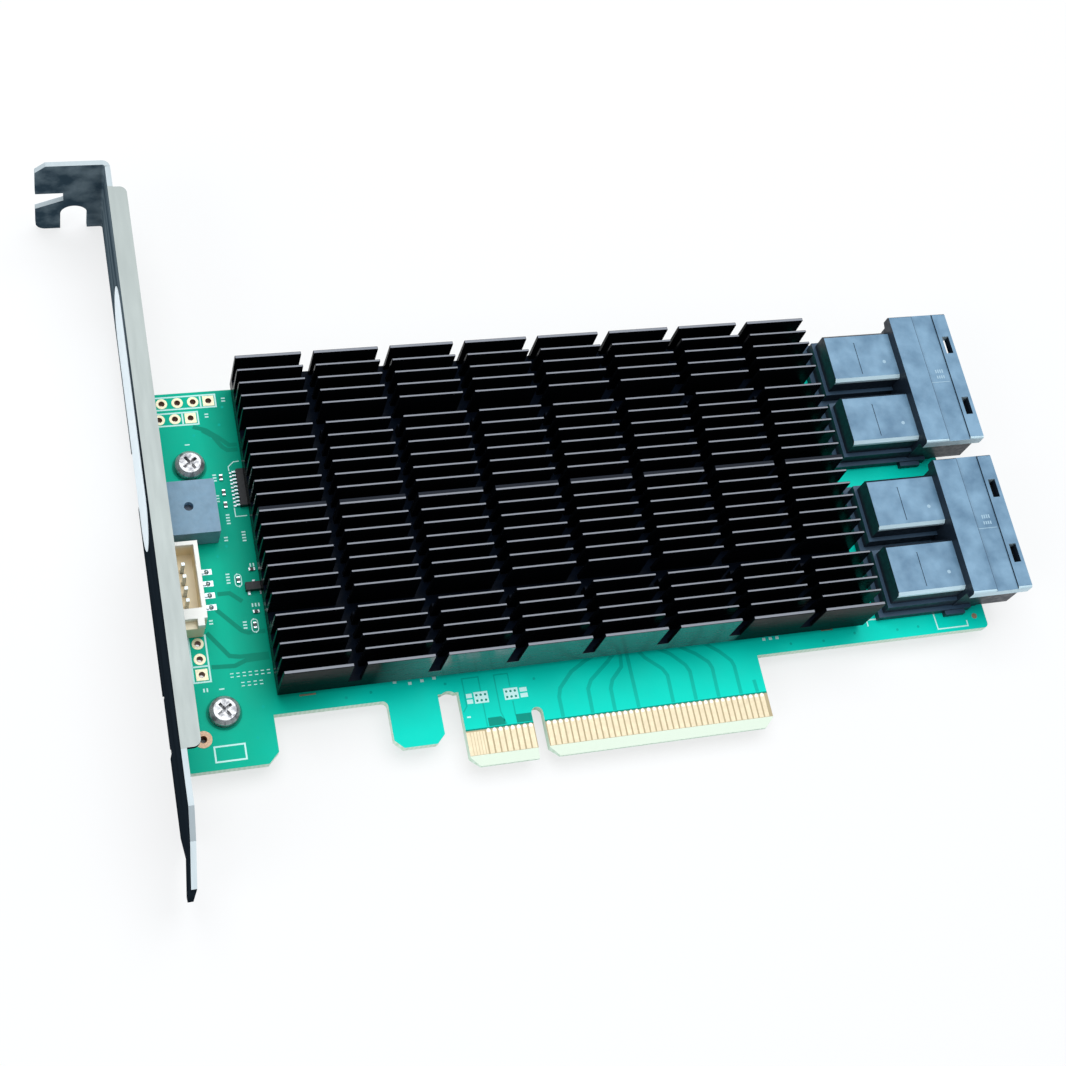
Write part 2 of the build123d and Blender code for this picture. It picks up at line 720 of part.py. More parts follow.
def wire_connector():
    top = face + wire_h
    posts = row(wire_mid_y, wire_pin_count, wire_pitch)
    post_x = sum(wire_x) / 2
    with BuildPart() as shell:
        slab(wire_x[0], wire_x[1], wire_y[0], wire_y[1], face + 0.1, top)
        slab(wire_x[0] + wire_wall, wire_x[1] - wire_wall, wire_step_y + 0.6, wire_y[1] - wire_wall,
             face + wire_floor, top + 1, mode=Mode.SUBTRACT)
        slab(wire_x[0] - 1, wire_x[1] - 1.6, wire_y[0] - 1, wire_step_y - 1.2,
             top - wire_step_drop, top + 1, mode=Mode.SUBTRACT)
        slab(wire_x[1] - 0.5, wire_x[1] + 1, wire_y[0] - 1, wire_step_y - 1.2,
             face - 1, top + 1, mode=Mode.SUBTRACT)
        for y in (wire_mid_y - wire_pitch, wire_mid_y + wire_pitch):
            slab(wire_x[0] - 1, wire_x[0] + wire_wall + 0.1, y - wire_slot_w / 2, y + wire_slot_w / 2,
                 top - wire_slot_depth, top + 1, mode=Mode.SUBTRACT)
        for y in posts:
            slab(post_x - wire_pin_w / 2, wire_x[1] + 1, y - wire_pin_w / 2, y + wire_pin_w / 2,
                 face, face + 0.35, mode=Mode.SUBTRACT)
            slab(post_x - wire_pin_w / 2, post_x + wire_pin_w / 2, y - wire_pin_w / 2, y + wire_pin_w / 2,
                 face, face + wire_floor + 1, mode=Mode.SUBTRACT)
    save(shell.part, "wire_socket")
    with BuildPart() as pins:
        for y in posts:
            slab(post_x - wire_pin_w / 2, post_x + wire_pin_w / 2, y - wire_pin_w / 2, y + wire_pin_w / 2,
                 face + wire_pad_t, top - 0.8)
            slab(post_x - wire_pin_w / 2, wire_x[1] + 1.0, y - wire_pin_w / 2, y + wire_pin_w / 2,
                 face + wire_pad_t, face + 0.3)
    save(pins.part, "wire_socket_pins")
    with BuildPart() as lands:
        with BuildSketch(Plane.XY.offset(face)):
            with Locations(*[(wire_x[1] + wire_pad_reach, y) for y in posts]):
                Rectangle(wire_pad_l, wire_pad_w)
        extrude(amount=wire_pad_t)
    save(lands.part, "wire_socket_pads")


def logic_chip():
    x0 = logic_left
    with BuildPart() as body:
        slab(x0, x0 + logic_w, logic_y - logic_l / 2, logic_y + logic_l / 2, face + 0.1, face + logic_h)
    save(body.part, "logic_chip")
    with BuildPart() as leads:
        for side, edge in ((-1, x0), (1, x0 + logic_w)):
            bend = edge + side * lead_reach * 0.45
            with BuildSketch(Plane.XZ.offset(-logic_y - logic_l / 2)):
                with BuildLine():
                    Polyline((edge, face + lead_bend_z), (bend, face + lead_bend_z), (bend, face),
                             (edge + side * lead_reach, face), (edge + side * lead_reach, face + lead_t),
                             (bend + side * lead_t, face + lead_t),
                             (bend + side * lead_t, face + lead_bend_z + lead_t),
                             (edge, face + lead_bend_z + lead_t), close=True)
                make_face()
            extrude(amount=logic_l)
        gap = logic_pitch - lead_w
        with BuildSketch(Plane.XY.offset(face - 1)):
            with Locations(*[(x0 + logic_w / 2, y) for y in row(logic_y, logic_lead_count + 1, logic_pitch)]):
                Rectangle(logic_w + 4, gap)
        extrude(amount=3, mode=Mode.SUBTRACT)
    save(leads.part, "logic_chip_leads")


# Two-ended chip parts: x, y and the axis that the long side follows; sizes are length, width and height
resistors = [
    (-43.95, 35.0, "y"), (-41.6, 36.6, "x"), (-41.9, 29.4, "x"), (-42.4, 27.15, "y"),
    (-44.2, 50.3, "y"), (-44.2, 48.1, "y"), (-44.3, 53.0, "y"),
]
resistor_size = (1.0, 0.5, 0.35)
back_capacitors = [
    (x, y, "y") for x in row(chip_x, 4, neighbour_gap) for y in row(sink_mid_y, 4, neighbour_gap)
]
lane_capacitors = [
    (first_contact + (i * 5 + j * 2 + 2.5) * contact_pitch, sink_bottom_y - 3.7, "y")
    for i in range(5) for j in (0, 1)
]
small_size = (1.0, 0.5, 0.5)


def chip_parts(name, spots, size, upward):
    """Bodies and metal ends of two-ended parts, on either face of the board."""
    length, width, height = size
    end = length * 0.22
    mid = length - 2 * end
    sign = 1 if upward else -1
    turns = {"x": 0, "y": 90}
    with BuildPart() as bodies:
        with BuildSketch(Plane.XY.offset(sign * face)):
            for x, y, way in spots:
                with Locations((x, y)):
                    Rectangle(mid, width, rotation=turns[way])
        extrude(amount=sign * height)
    save(bodies.part, name)
    with BuildPart() as ends:
        with BuildSketch(Plane.XY.offset(sign * face)):
            for x, y, way in spots:
                for s in (-1, 1):
                    shift = s * (length - end) / 2
                    with Locations((x + shift, y) if way == "x" else (x, y + shift)):
                        Rectangle(end, width, rotation=turns[way])
        extrude(amount=sign * height)
    save(ends.part, name + "_ends")


def transistor():
    x = transistor_x
    y = transistor_y
    with BuildPart() as body:
        slab(x - transistor_l / 2, x + transistor_l / 2, y - transistor_w / 2, y + transistor_w / 2,
             face + 0.1, face + transistor_h)
    save(body.part, "transistor")
    with BuildPart() as legs:
        for dx, s in ((0.0, 1), (-transistor_leg_spread, -1), (transistor_leg_spread, -1)):
            y0 = y + s * transistor_w / 2
            y1 = y0 + s * transistor_leg_reach
            slab(x + dx - transistor_leg_w / 2, x + dx + transistor_leg_w / 2, min(y0, y1), max(y0, y1),
                 face, face + transistor_leg_t)
    save(legs.part, "transistor_legs")


def small_chips():
    """Low parts under the heat sink, in a column between the bracket and the switch chip."""
    left = chip_x - chip_size / 2 - memory_setback
    with BuildPart() as memory:
        memory_y = sink_bottom_y + memory_inset
        slab(left, left + memory_l, memory_y, memory_y + memory_w, face, face + memory_h)
    save(memory.part, "memory_chip")
    low = sink_mid_y + memory_w + oscillator_gap
    with BuildPart() as can:
        slab(left, left + oscillator_l, low, low + oscillator_w, face + oscillator_h / 3, face + oscillator_h)
    save(can.part, "oscillator_lid")
    with BuildPart() as base:
        slab(left, left + oscillator_l, low, low + oscillator_w, face, face + oscillator_h / 3)
    save(base.part, "oscillator_base")
    with BuildPart() as regulators:
        for y in row(sink_mid_y, 3, 3 * regulator_size):
            slab(left - 2.5 * regulator_size, left - 1.5 * regulator_size, y - regulator_size / 2,
                 y + regulator_size / 2, face, face + regulator_h)
    save(regulators.part, "regulator_chips")


board()
edge_contacts()
pads()
bracket()
bracket_screws()
bracket_label()
heat_sink()
switch_chip()
for centre, end_name in zip(connector_ys, ("lower", "upper")):
    port_housing(centre, "port_housing_" + end_name)
    port_insert(centre, end_name)
board_locks()
buzzer()
wire_connector()
logic_chip()
chip_parts("resistors", resistors, resistor_size, True)
chip_parts("back_capacitors", back_capacitors, small_size, False)
chip_parts("lane_capacitors", lane_capacitors, small_size, False)
transistor()
small_chips()
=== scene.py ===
import math

import bmesh
import bpy
from mathutils import Matrix, Vector


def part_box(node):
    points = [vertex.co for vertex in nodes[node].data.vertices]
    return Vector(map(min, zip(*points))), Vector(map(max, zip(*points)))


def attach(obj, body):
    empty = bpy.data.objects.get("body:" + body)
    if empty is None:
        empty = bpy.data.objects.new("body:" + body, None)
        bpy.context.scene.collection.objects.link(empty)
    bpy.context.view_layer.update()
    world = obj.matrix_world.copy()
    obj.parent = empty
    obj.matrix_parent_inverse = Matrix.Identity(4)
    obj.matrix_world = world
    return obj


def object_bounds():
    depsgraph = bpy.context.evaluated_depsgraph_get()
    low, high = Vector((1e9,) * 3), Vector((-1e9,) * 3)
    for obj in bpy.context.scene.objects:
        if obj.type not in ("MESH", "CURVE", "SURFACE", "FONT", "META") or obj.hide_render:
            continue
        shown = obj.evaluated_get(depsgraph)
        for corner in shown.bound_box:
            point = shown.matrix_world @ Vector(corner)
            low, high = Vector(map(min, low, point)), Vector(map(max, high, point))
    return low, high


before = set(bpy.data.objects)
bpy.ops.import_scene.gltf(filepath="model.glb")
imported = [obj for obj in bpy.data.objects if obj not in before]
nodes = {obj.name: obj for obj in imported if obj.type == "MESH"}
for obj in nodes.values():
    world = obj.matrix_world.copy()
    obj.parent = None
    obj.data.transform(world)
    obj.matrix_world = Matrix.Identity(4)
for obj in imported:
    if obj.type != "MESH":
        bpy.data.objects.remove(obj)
cad_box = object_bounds()

# The card's sizes are written in mm, and MM turns them into Blender's metres
MM = 0.001

# The board's component side and solder side
FACE = 0.785
BACK = -FACE

# How far plated pads and contacts, masked copper, printed ink and bare pads stand off the board
PAD_T = 0.05
TRACE_T = 0.012
INK_T = 0.02
BARE_PAD_T = 0.03

# The two cable connectors, with two ports each
CONNECTOR_MIDS = (28.05, 56.5)
PORT_PITCH = 12.25
PORT_MIDS = [mid + side * PORT_PITCH / 2 for mid in CONNECTOR_MIDS for side in (-1, 1)]
SHROUD_BACK_X = 76.7
SHROUD_TOP_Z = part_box("port_housing_lower")[1].z / MM
REAR_BOX_TOP_Z = FACE + 7.6


# Materials
def tone(r, g, b):
    """An 8-bit screen colour as the linear colour that a shader takes."""
    def linear(c):
        c = c / 255
        return c / 12.92 if c <= 0.04045 else ((c + 0.055) / 1.055) ** 2.4
    return (linear(r), linear(g), linear(b), 1.0)


def scaled(colour, k):
    return tuple(min(1.0, c * k) for c in colour[:3]) + (1.0,)


class Surface:
    """A material whose colour, roughness and relief come from procedural noise in the part's own space."""

    RELIEF_DEPTH = 0.05 * MM
    NOISE_LOW, NOISE_HIGH = 0.3, 0.7

    def __init__(self, name, colour, rough=0.5, metal=0.0, grain=900, vary=0.08, rough_vary=0.1,
                 bump=0.0, bump_scale=2500, stretch=(1, 1, 1), specular=0.5):
        self.mat = bpy.data.materials.new(name)
        self.mat.use_nodes = True
        self.tree = self.mat.node_tree
        self.bsdf = self.tree.nodes["Principled BSDF"]
        self.bsdf.inputs["Metallic"].default_value = metal
        self.bsdf.inputs["Specular IOR Level"].default_value = specular
        where = self.node("ShaderNodeTexCoord")
        place = self.node("ShaderNodeMapping")
        place.inputs["Scale"].default_value = stretch
        self.link(where.outputs["Object"], place.inputs["Vector"])
        self.place = place.outputs["Vector"]
        self.colour = self.mix(self.noise(grain, 4), scaled(colour, 1 - vary), scaled(colour, 1 + vary))
        self.link(self.colour, self.bsdf.inputs["Base Color"])
        smooth, coarse = max(0.02, rough - rough_vary), min(1.0, rough + rough_vary)
        wear = self.spread(self.noise(grain * 2.7, 3), self.NOISE_LOW, self.NOISE_HIGH, smooth, coarse)
        self.link(wear, self.bsdf.inputs["Roughness"])
        if bump:
            relief = self.node("ShaderNodeBump")
            relief.inputs["Strength"].default_value = bump
            relief.inputs["Distance"].default_value = self.RELIEF_DEPTH
            self.link(self.noise(bump_scale, 3), relief.inputs["Height"])
            self.link(relief.outputs["Normal"], self.bsdf.inputs["Normal"])

    def node(self, kind):
        return self.tree.nodes.new(kind)

    def link(self, a, b):
        self.tree.links.new(a, b)

    def feed(self, socket, value):
        """Sets a socket to a constant, or links it to another socket."""
        if isinstance(value, (tuple, int, float)):
            socket.default_value = value
        else:
            self.link(value, socket)

    def noise(self, scale, detail):
        n = self.node("ShaderNodeTexNoise")
        n.inputs["Scale"].default_value = scale
        n.inputs["Detail"].default_value = detail
        self.link(self.place, n.inputs["Vector"])
        return n.outputs["Fac"]

    def mix(self, factor, a, b):
        """A colour between a and b; each is a colour or a socket."""
        m = self.node("ShaderNodeMix")
        m.data_type = "RGBA"
        for socket, value in ((m.inputs[0], factor), (m.inputs[6], a), (m.inputs[7], b)):
            self.feed(socket, value)
        return m.outputs[2]

    def math(self, operation, a, b=0.0):
        m = self.node("ShaderNodeMath")
        m.operation = operation
        self.feed(m.inputs[0], a)
        self.feed(m.inputs[1], b)
        return m.outputs[0]

    def times(self, a, b):
        return self.math("MULTIPLY", a, b)

    def either(self, a, b):
        return self.math("MAXIMUM", a, b)

    def opposite(self, a):
        return self.math("SUBTRACT", 1.0, a)

    def above(self, value, limit):
        return self.math("GREATER_THAN", value, limit)

    def below(self, value, limit):
        return self.math("LESS_THAN", value, limit)

    def between(self, value, low, high):
        """1 where value lies between low and high, both in mm."""
        return self.times(self.above(value, low * MM), self.below(value, high * MM))

    def spread(self, value, low, high, start=0.0, end=1.0):
        """From start to end while value goes from low to high."""
        m = self.node("ShaderNodeMapRange")
        for name, amount in (("From Min", low), ("From Max", high), ("To Min", start), ("To Max", end)):
            m.inputs[name].default_value = amount
        self.link(value, m.inputs["Value"])
        return m.outputs["Result"]

    def ramp(self, value, low, high):
        """0 to 1 while value goes from low to high, both in mm."""
        return self.spread(value, low * MM, high * MM)

    def axis(self, output, which):
        """One coordinate of the surface's position or normal in the part's frame."""
        g = self.node("ShaderNodeNewGeometry")
        s = self.node("ShaderNodeSeparateXYZ")
        self.link(g.outputs[output], s.inputs[0])
        return s.outputs[which]

    def layer(self, factor, colour):
        """Paints colour where factor is 1."""
        self.colour = self.mix(factor, self.colour, colour)
        self.link(self.colour, self.bsdf.inputs["Base Color"])

    def gloss(self, where, inside, outside):
        """Sets how strongly the surface mirrors, where the factor is 1 and elsewhere."""
        level = self.math("ADD", self.times(where, inside - outside), outside)
        self.link(level, self.bsdf.inputs["Specular IOR Level"])


def solder_mask():
    """The board's mask, with bare fibreglass between the contacts and woven glass at the cut edges."""
    mask = Surface("solder_mask", tone(0, 218, 196), rough=0.36, grain=260, vary=0.04, rough_vary=0.05,
                   bump=0.2, bump_scale=1500, specular=0.05)
    steep = mask.below(mask.math("ABSOLUTE", mask.axis("Normal", "Z")), 0.6)
    x = mask.axis("Position", "X")
    y = mask.axis("Position", "Y")
    # Painted shade: the mask is darker at the bracket's end, and a painted shadow darkens it most of all
    # close to the heat sink
    left_end_shade = mask.opposite(mask.ramp(x, -46.0, -26.0))
    mask.layer(mask.times(left_end_shade, 0.85), tone(0, 180, 146))
    sink_shadow = mask.times(mask.ramp(x, -46.5, -40.8), left_end_shade)
    above_edge = mask.times(mask.ramp(y, 12.0, 18.0), 0.7)
    mask.layer(mask.times(sink_shadow, above_edge), tone(0, 116, 84))
    in_teeth = mask.between(x, -12.4, 39.8)
    mask_edge = mask.times(mask.below(y, 6.0 * MM), in_teeth)
    mask.layer(mask_edge, tone(0, 140, 122))
    bare_glass = mask.times(mask.below(y, 5.72 * MM), in_teeth)
    mask.layer(bare_glass, tone(188, 172, 138))
    bevel = mask.below(y, 1.66 * MM)
    mask.layer(bevel, tone(230, 242, 224))
    weave = mask.node("ShaderNodeTexWave")
    weave.inputs["Scale"].default_value = 420
    weave.inputs["Distortion"].default_value = 1.5
    mask.link(mask.place, weave.inputs["Vector"])
    mask.layer(steep, mask.mix(weave.outputs["Fac"], tone(212, 236, 212), tone(228, 246, 228)))
    return mask


def black_anodising():
    """The heat sink's near black anodising, with painted highlights on its crests, painted light on its faces
    turned up and a sheen on part of its front that is partly metallic gloss and partly a painted reflection.
    """
    black = Surface("black_anodised", tone(6, 8, 11), rough=0.22, grain=500, vary=0.3, rough_vary=0.08,
                    bump=0.3, bump_scale=1400, stretch=(0.25, 1, 1))
    low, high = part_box("heat_sink")
    x = black.axis("Position", "X")
    y = black.axis("Position", "Y")
    on_front = black.times(black.below(black.axis("Normal", "Y"), -0.7), black.below(y, low.y + 0.3 * MM))
    middle_blocks = black.times(black.ramp(x, -26.0, -15.0), black.ramp(x, 35.6, 33.8))
    # A sheen on the front of the middle blocks: real metallic gloss, plus a grey painted reflection in its
    # colour
    sheen = black.times(black.times(on_front, middle_blocks), 0.7)
    black.gloss(sheen, 0.75, 0.02)
    black.link(sheen, black.bsdf.inputs["Metallic"])
    black.layer(sheen, tone(128, 138, 142))
    # Painted light: faces turned up are painted a lighter, bluer tone than the rest
    lit_flat_top = black.above(black.axis("Normal", "Z"), 0.9)
    black.layer(lit_flat_top, tone(10, 17, 28))
    # A painted highlight along the crests, left off most of the thick middle fin
    mid_y = (low.y + high.y) / 2 / MM
    crest = black.above(black.axis("Position", "Z"), high.z - 0.003 * MM)
    thick_fin = black.between(y, mid_y - 0.12, mid_y + 0.9)
    line = black.times(crest, black.opposite(black.times(thick_fin, 0.94)))
    black.layer(black.times(line, 0.95), tone(143, 146, 154))
    return black


def bracket_steel():
    """The bracket's plated sheet: pale inside, with a painted dark reflection on the faces turned to the
    outside.
    """
    steel = Surface("plated_steel", tone(166, 173, 170), rough=0.45, grain=420, vary=0.05, rough_vary=0.08,
                    bump=0.3, bump_scale=900, stretch=(1, 0.12, 1))
    x = steel.axis("Position", "X")
    y = steel.axis("Position", "Y")
    clouds = steel.noise(260, 4)
    # A painted reflection in dark blue-grey tones, mottled, and lighter from y 50 to 120 mm
    reflection_tones = steel.mix(clouds, tone(12, 17, 22), tone(36, 45, 53))
    light_reflection_tones = steel.mix(steel.spread(clouds, 0.35, 0.65), tone(58, 76, 88), tone(122, 138, 146))
    reflection_tones = steel.mix(steel.ramp(y, 50.0, 120.0), reflection_tones, light_reflection_tones)
    turned_away = steel.either(steel.below(steel.axis("Normal", "X"), -0.7),
                               steel.below(steel.axis("Normal", "Y"), -0.7))
    steel.layer(turned_away, reflection_tones)
    outside_flange = steel.either(steel.above(y, 100.1 * MM),
                                  steel.either(steel.below(y, 4.5 * MM), steel.below(x, -57.7 * MM)))
    cut_edge = steel.times(steel.above(steel.axis("Normal", "Z"), 0.4), outside_flange)
    steel.layer(cut_edge, tone(182, 192, 196))
    steel.gloss(turned_away, 0.0, 0.3)
    steel.link(steel.times(steel.opposite(turned_away), 0.2), steel.bsdf.inputs["Metallic"])
    return steel


def port_moulding():
    """The connectors' moulding: dark sides, a cloudy grey-blue painted sheen on the tops, painted highlights
    on the lips and painted shade on the low ledges.
    """
    port = Surface("port_moulding", tone(28, 38, 50), rough=0.42, grain=420, vary=0.15, rough_vary=0.1,
                   bump=0.3, bump_scale=1800, specular=0.3)
    x = port.axis("Position", "X")
    z = port.axis("Position", "Z")
    # A painted sheen on the faces turned up, cloudy grey-blue over the dark moulding
    top = port.above(port.axis("Normal", "Z"), 0.8)
    clouds = port.spread(port.noise(230, 5), 0.32, 0.66)
    port.layer(top, port.mix(clouds, tone(92, 126, 153), tone(128, 163, 189)))
    # Painted shade: faces turned up that lie low take a dimmer tone
    shaded_low_ledge = port.times(top, port.below(z, (FACE + 5.0) * MM))
    port.layer(shaded_low_ledge, tone(58, 82, 104))
    # Painted highlights along the front lips of the shroud and of the rear boxes
    shroud_highlight_band = port.between(z, SHROUD_TOP_Z - 2.1, SHROUD_TOP_Z - 0.01)
    box_highlight_band = port.times(port.between(z, REAR_BOX_TOP_Z - 1.1, REAR_BOX_TOP_Z - 0.01),
                         port.below(x, SHROUD_BACK_X * MM))
    lip_highlights = port.times(port.either(shroud_highlight_band, box_highlight_band), port.below(port.axis("Normal", "Y"), -0.25))
    port.layer(lip_highlights, tone(204, 230, 240))
    # A darker line on the tops along the groove's back step
    groove_step_line = port.times(port.between(x, 81.1, 81.35), top)
    port.layer(groove_step_line, tone(66, 92, 114))
    return port


def masked_copper(name, colour):
    """Copper that shows through the solder mask."""
    return Surface(name, colour, rough=0.36, grain=500, vary=0.05, rough_vary=0.04, bump=0.15, specular=0.05)


gold = Surface("gold_plating", tone(224, 208, 176), rough=0.42, metal=0.2, grain=700, rough_vary=0.08,
               bump=0.1, specular=0.3)
# Pale gold for the painted highlights on the contacts' rounded ends
end_highlight = Surface("gold_ends", tone(244, 240, 226), rough=0.4, metal=0.1, vary=0.03, bump=0.1)
gold_gap = Surface("gold_gap", tone(206, 188, 152), vary=0.05, bump=0.1, specular=0.3)
plating = Surface("hole_plating", tone(240, 230, 196), rough=0.4, metal=0.2, grain=1500, vary=0.06, bump=0.15,
                  specular=0.3)
barrel = Surface("hole_wall", tone(128, 74, 26), metal=0.2, grain=1500, vary=0.2, bump=0.2, specular=0.2)
copper = Surface("bare_copper", tone(172, 142, 116), rough=0.42, metal=0.5, grain=1800, vary=0.1, bump=0.2)
tin = Surface("tinned", tone(190, 200, 206), rough=0.34, metal=0.6, grain=1600, vary=0.1, rough_vary=0.12,
              bump=0.35)
solder = Surface("solder", tone(206, 212, 216), rough=0.26, metal=0.8, grain=1300, bump=0.3, bump_scale=1200)
screw = Surface("nickel_screw", tone(186, 186, 188), rough=0.3, metal=0.5, vary=0.2, bump=0.9,
                bump_scale=700)
dents = screw.spread(screw.noise(950, 3), 0.5, 0.62)
screw.layer(dents, tone(124, 124, 128))
paper = Surface("paper_label", tone(240, 250, 255), rough=0.55, grain=800, vary=0.02, bump=0.12,
                bump_scale=3500)
port_mark = Surface("port_mark", tone(156, 186, 204), bump=0.2)
# Dark plastic for plates that stand in for the shade inside the ports
shade_plastic = Surface("painted_port_shade", tone(10, 14, 20), rough=0.7, vary=0.1, bump=0.2, specular=0.1)
tongue = Surface("tongue_moulding", tone(46, 60, 78), vary=0.1, bump=0.2)
buzzer = Surface("buzzer_moulding", tone(122, 156, 180), rough=0.55, grain=700, vary=0.2, rough_vary=0.08,
                 bump=0.5, bump_scale=2600)
nylon = Surface("nylon", tone(255, 253, 246), rough=0.45, grain=600, vary=0.03, bump=0.15)
# Painted shade: the socket is a deeper beige low down, for the shade in its cavity
cavity_shade = nylon.ramp(nylon.axis("Position", "Z"), FACE + 5.0, FACE + 3.8)
nylon.layer(cavity_shade, tone(246, 230, 196))
chip = Surface("moulded_chip", tone(26, 28, 32), rough=0.55, grain=2200, vary=0.2, bump=0.4, bump_scale=4200)
laminate = Surface("chip_laminate", tone(30, 110, 76), rough=0.4, bump=0.1)
pad_grey = Surface("thermal_pad", tone(160, 164, 170), rough=0.8, grain=1500, bump=0.4)
ceramic = Surface("ceramic", tone(178, 150, 116), rough=0.45, grain=2400, vary=0.12, bump=0.2)
resist = Surface("resistor", tone(24, 24, 28), rough=0.35, grain=2600, vary=0.15, bump=0.15)
silk = Surface("silkscreen", tone(206, 252, 246), rough=0.6, grain=2600, vary=0.05, bump=0.3, bump_scale=5200)
trace = masked_copper("masked_trace", tone(0, 188, 168))
# Traces are darker than the mask; this copy is darker again, painted shade at the bracket's end as on the
# mask there, and the screw pads take it too
shaded_trace = masked_copper("masked_trace_left", tone(0, 146, 120))
trace_dim = masked_copper("masked_plane_gap", tone(0, 146, 128))


def dress(surface, *node_names):
    """Gives CAD nodes their finish."""
    for node_name in node_names:
        slots = nodes[node_name].data.materials
        slots.clear()
        slots.append(surface.mat)


dress(solder_mask(), "board")
dress(black_anodising(), "heat_sink")
dress(bracket_steel(), "bracket")
dress(screw, "bracket_screws")
dress(paper, "bracket_label")
dress(gold, "edge_contacts", "port_blades_lower", "port_blades_upper")
dress(plating, "header_pads")
dress(copper, "copper_ring")
dress(shaded_trace, "screw_pads")
dress(port_moulding(), "port_housing_lower", "port_housing_upper")
dress(tongue, "port_tongues_lower", "port_tongues_upper", "buzzer_diaphragm")
dress(buzzer, "buzzer_case")
dress(nylon, "wire_socket")
dress(tin, "board_locks", "buzzer_terminals", "wire_socket_pins", "wire_socket_pads", "logic_chip_leads",
      "transistor_legs", "oscillator_lid")
dress(solder, "port_tails_lower", "port_tails_upper", "resistors_ends", "back_capacitors_ends",
      "lane_capacitors_ends")
dress(chip, "switch_chip_cap", "logic_chip", "transistor", "memory_chip", "regulator_chips")
dress(laminate, "switch_chip_substrate")
dress(pad_grey, "thermal_pad")
dress(ceramic, "back_capacitors", "lane_capacitors", "oscillator_base")
dress(resist, "resistors")


# Soft edges
def soften(node_name, width):
    """Rounds a CAD node's edges a little so that they catch the light."""
    o = nodes[node_name]
    weld = o.modifiers.new("weld", "WELD")
    weld.merge_threshold = 1e-6
    b = o.modifiers.new("soften", "BEVEL")
    b.width = width * MM
    b.segments = 2
    b.limit_method = "ANGLE"
    b.angle_limit = math.radians(35)
    b.use_clamp_overlap = True
    b.harden_normals = True


for node_name, width in (("port_housing_lower", 0.12), ("port_housing_upper", 0.12), ("buzzer_case", 0.15),
                         ("wire_socket", 0.1), ("bracket", 0.08), ("heat_sink", 0.09), ("logic_chip", 0.08),
                         ("switch_chip_cap", 0.1), ("bracket_screws", 0.06)):
    soften(node_name, width)


# Mesh helpers
def mesh_object(name, bm):
    """Turns a bmesh into an object in the scene."""
    mesh = bpy.data.meshes.new(name)
    bm.to_mesh(mesh)
    bm.free()
    o = bpy.data.objects.new(name, mesh)
    bpy.context.scene.collection.objects.link(o)
    return o


def piece(name, bm, surface):
    """Turns a bmesh into a piece that rides on the card."""
    bmesh.ops.recalc_face_normals(bm, faces=bm.faces)
    o = mesh_object(name, bm)
    o.data.materials.append(surface.mat)
    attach(o, "root")


def plates(name, outlines, z, thick, surface):
    """Thin flat shapes on the board; each outline is a list of points, anticlockwise."""
    bm = bmesh.new()
    for outline in outlines:
        low = [bm.verts.new((x * MM, y * MM, z * MM)) for x, y in outline]
        high = [bm.verts.new((x * MM, y * MM, (z + thick) * MM)) for x, y in outline]
        bm.faces.new(high)
        bm.faces.new(list(reversed(low)))
        for i in range(len(outline)):
            j = (i + 1) % len(outline)
            bm.faces.new((low[i], low[j], high[j], high[i]))
    piece(name, bm, surface)


def circle(bm, x, y, r, z, sides):
    """A ring of vertices about an upright axis."""
    return [bm.verts.new((px * MM, py * MM, z * MM)) for px, py in disc(x, y, r, sides)]


def join(bm, a, b):
    """Faces between two rings with as many vertices."""
    sides = len(a)
    for k in range(sides):
        bm.faces.new((a[k], a[(k + 1) % sides], b[(k + 1) % sides], b[k]))


def tubes(name, spots, inner, outer, z0, z1, surface, sides=24):
    """Short tubes about upright axes."""
    bm = bmesh.new()
    for x, y in spots:
        rings = [circle(bm, x, y, r, z, sides)
                 for r, z in ((outer, z0), (outer, z1), (inner, z1), (inner, z0))]
        for i in range(4):
            join(bm, rings[i], rings[(i + 1) % 4])
    piece(name, bm, surface)


def fillets(name, spots, z, reach, height, surface):
    """Solder cones about pins, their sides drawn in."""
    bm = bmesh.new()
    pin_r = 0.4 * reach
    for x, y in spots:
        rings = [circle(bm, x, y, pin_r + (reach - pin_r) * (1 - up) ** 2, z + height * up, 12)
                 for up in (0.0, 0.2, 0.5, 1.0)]
        for a, b in zip(rings, rings[1:]):
            join(bm, a, b)
        bm.faces.new(rings[-1])
        bm.faces.new(list(reversed(rings[0])))
    for f in bm.faces:
        f.smooth = True
    piece(name, bm, surface)


def stroke(points, width, closed=False):
    """A polyline of a given width as a list of four-cornered outlines with mitred corners."""
    n = len(points)
    pts = [Vector(p) for p in points]
    sides = []
    for i in range(n):
        before = pts[i] - pts[i - 1] if (i or closed) else pts[1] - pts[0]
        after = pts[(i + 1) % n] - pts[i] if (i < n - 1 or closed) else pts[-1] - pts[-2]
        before.normalize()
        after.normalize()
        lean = before + after
        lean.normalize()
        normal = Vector((-lean.y, lean.x))
        size = width / 2 / max(0.35, normal.dot(Vector((-before.y, before.x))))
        sides.append((pts[i] + normal * size, pts[i] - normal * size))
    quads = []
    for i in range(n if closed else n - 1):
        a, b = sides[i], sides[(i + 1) % n]
        quads.append([tuple(a[1]), tuple(b[1]), tuple(b[0]), tuple(a[0])])
    return quads


def strokes(lines, width):
    return [quad for line in lines for quad in stroke(line, width)]


def rectangle(x0, x1, y0, y1):
    return [(x0, y0), (x1, y0), (x1, y1), (x0, y1)]


def block(x, y, w, h):
    """A rectangle about its middle."""
    return rectangle(x - w / 2, x + w / 2, y - h / 2, y + h / 2)


def box_line(x0, x1, y0, y1, width):
    return stroke(rectangle(x0, x1, y0, y1), width, closed=True)


def disc(x, y, r, sides):
    turns = [i * math.tau / sides for i in range(sides)]
    return [(x + r * math.cos(a), y + r * math.sin(a)) for a in turns]


